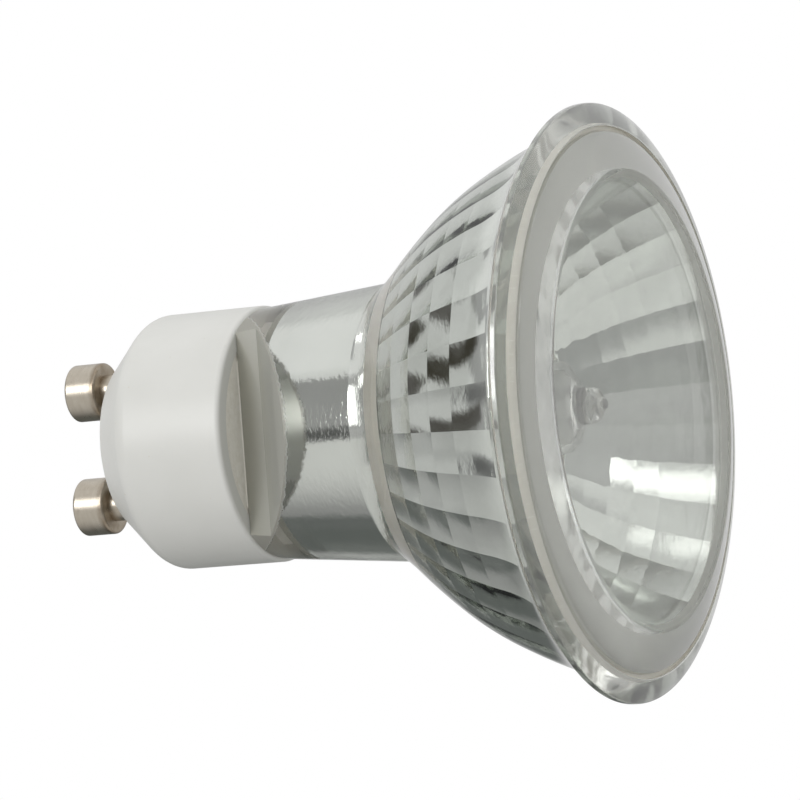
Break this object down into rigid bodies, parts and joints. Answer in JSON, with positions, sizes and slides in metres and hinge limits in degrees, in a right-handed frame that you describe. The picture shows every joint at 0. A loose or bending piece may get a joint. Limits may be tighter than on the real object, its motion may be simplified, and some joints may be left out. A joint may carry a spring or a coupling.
{
  "type": "spotlight bulb",
  "caption": "Mains halogen spotlight bulb with a ceramic twist-and-lock cap, headed contact pins, a faceted glass reflector and a cover glass.",
  "frame": {"origin": "centre of the cap's end face, midway between the contact pins", "axes": "+X along the lamp axis towards the light, +Z from the lower contact pin to the upper one"},
  "size_m": [0.0536, 0.05, 0.05],
  "materials": {
    "cap": "satin",
    "pin": "satin",
    "reflector": "polished",
    "cover": "polished",
    "seal": "satin",
    "cement": "matte",
    "quartz": "polished",
    "tungsten": "satin",
    "wire": "satin",
    "insulation": "matte",
    "solder": "satin"
  },
  "bodies": {
    "root": {"base_cap": "cap", "contact_pin_upper": "pin", "contact_pin_lower": "pin", "reflector": "reflector", "front_glass": "cover", "front_glass_seal": "seal", "base_cement": "cement", "capsule_cement": "cement", "capsule_envelope": "quartz", "filament": "tungsten", "filament_support": "tungsten", "inner_lead_upper": "tungsten", "inner_lead_lower": "tungsten", "foil_upper": "tungsten", "foil_lower": "tungsten", "outer_lead_upper": "tungsten", "outer_lead_lower": "tungsten", "crimp_sleeve_upper": "wire", "crimp_sleeve_lower": "wire", "lead_wire_upper": "wire", "fuse_wire_lower": "wire", "insulating_sleeve": "insulation", "pin_solder_upper": "solder", "pin_solder_lower": "solder"}
  },
  "joints": []
}
